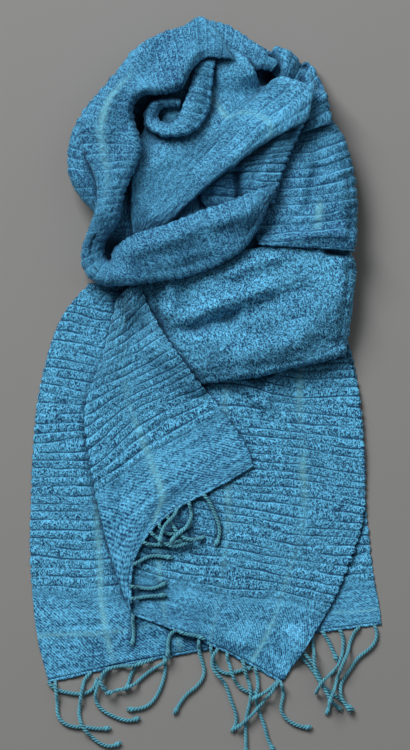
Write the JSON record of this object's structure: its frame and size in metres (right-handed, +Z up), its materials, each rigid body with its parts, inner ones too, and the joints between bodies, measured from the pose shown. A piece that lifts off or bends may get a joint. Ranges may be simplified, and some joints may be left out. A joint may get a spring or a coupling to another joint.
{
  "type": "silk scarf dropped in a heap",
  "caption": "Narrow crinkled silk scarf with a twisted fringe at each end, dropped flat: its middle wound into a loose heap and its ends laid one on the other.",
  "frame": {"origin": "centre of the footprint, on the surface that the scarf lies on", "axes": "+X across the spread end towards the side of the broad panel, +Y from the fringes towards the heap, +Z up from the surface"},
  "size_m": [0.3516, 0.7366, 0.0751],
  "materials": {
    "silk_cloth": "woven silk with crosswise crinkle ribs and a soft sheen",
    "silk_thread": "twisted silk threads"
  },
  "bodies": {
    "root": {"under_tail": "silk_cloth", "hidden_layers": "silk_cloth", "under_fringe": "silk_thread", "over_tail": "silk_cloth", "over_fringe": "silk_thread", "lower_band": "silk_cloth", "turned_end": "silk_cloth", "turned_fringe": "silk_thread", "right_panel": "silk_cloth", "top_ruffle": "silk_cloth", "top_strip": "silk_cloth", "outer_turn": "silk_cloth", "inner_fold": "silk_cloth", "cross_band": "silk_cloth", "eye_coil": "silk_cloth", "collar": "silk_cloth"}
  },
  "joints": []
}
